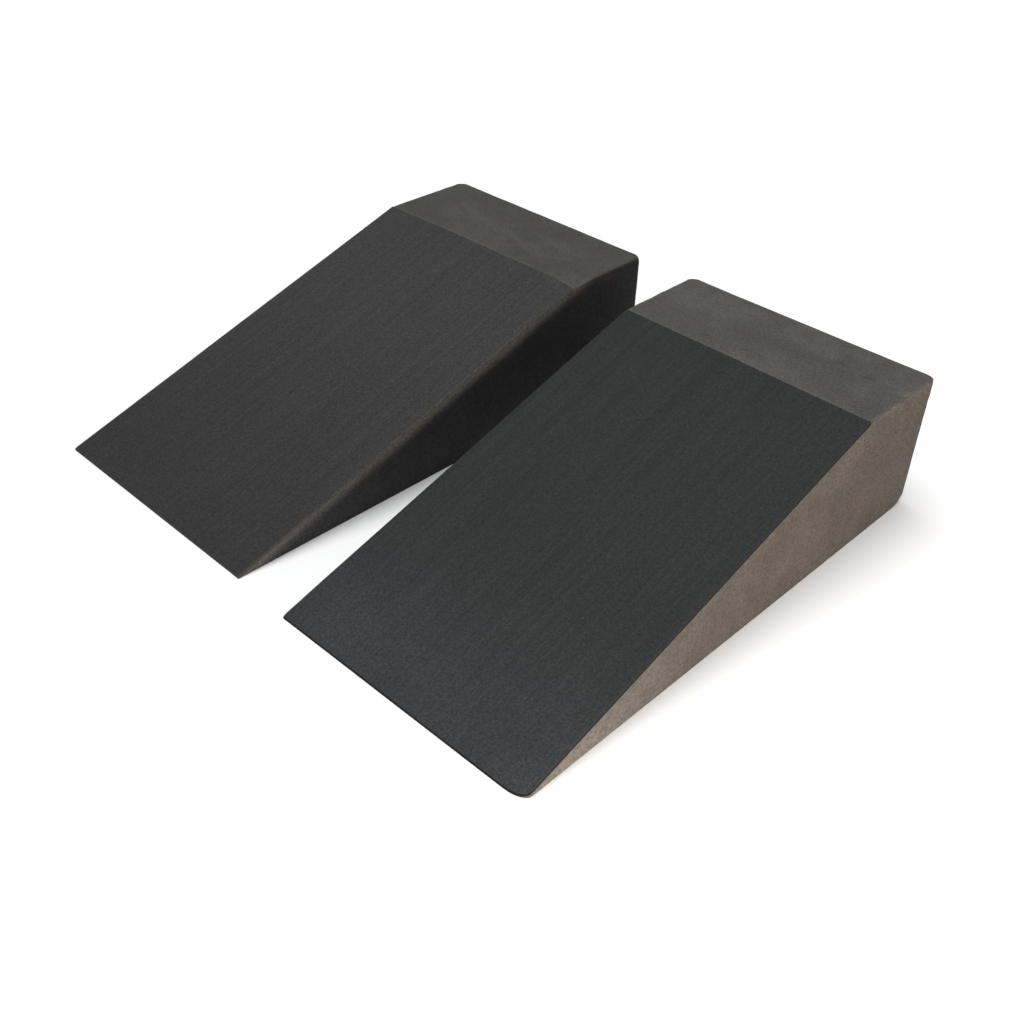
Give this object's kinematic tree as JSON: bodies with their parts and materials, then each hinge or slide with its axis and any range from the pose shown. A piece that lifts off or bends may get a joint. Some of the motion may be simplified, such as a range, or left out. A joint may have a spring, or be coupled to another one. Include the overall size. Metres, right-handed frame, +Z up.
{
  "type": "leveling block set",
  "caption": "Dense foam wedge leveling blocks with a grip sheet on each slope and a flat deck at the high end, laid side by side to raise a trailer's tyres.",
  "frame": {"origin": "on the ground, at the middle of the pair's box as it is laid out", "axes": "+X runs across the pair from the left block to the right one, +Y from the toes to the high ends, +Z up"},
  "size_m": [0.449, 0.385, 0.1],
  "materials": {
    "foam": "matte",
    "tread": "matte"
  },
  "bodies": {
    "right_block": {"right_foam_block": "foam", "right_slope_tread": "tread"},
    "left_block": {"left_foam_block": "foam", "left_slope_tread": "tread"}
  },
  "joints": [
    {"name": "pair_spacing", "type": "slide", "parent": "right_block", "child": "left_block", "axis": [-1, 0, 0], "range_m": [-0.0485, 0.651]}
  ]
}
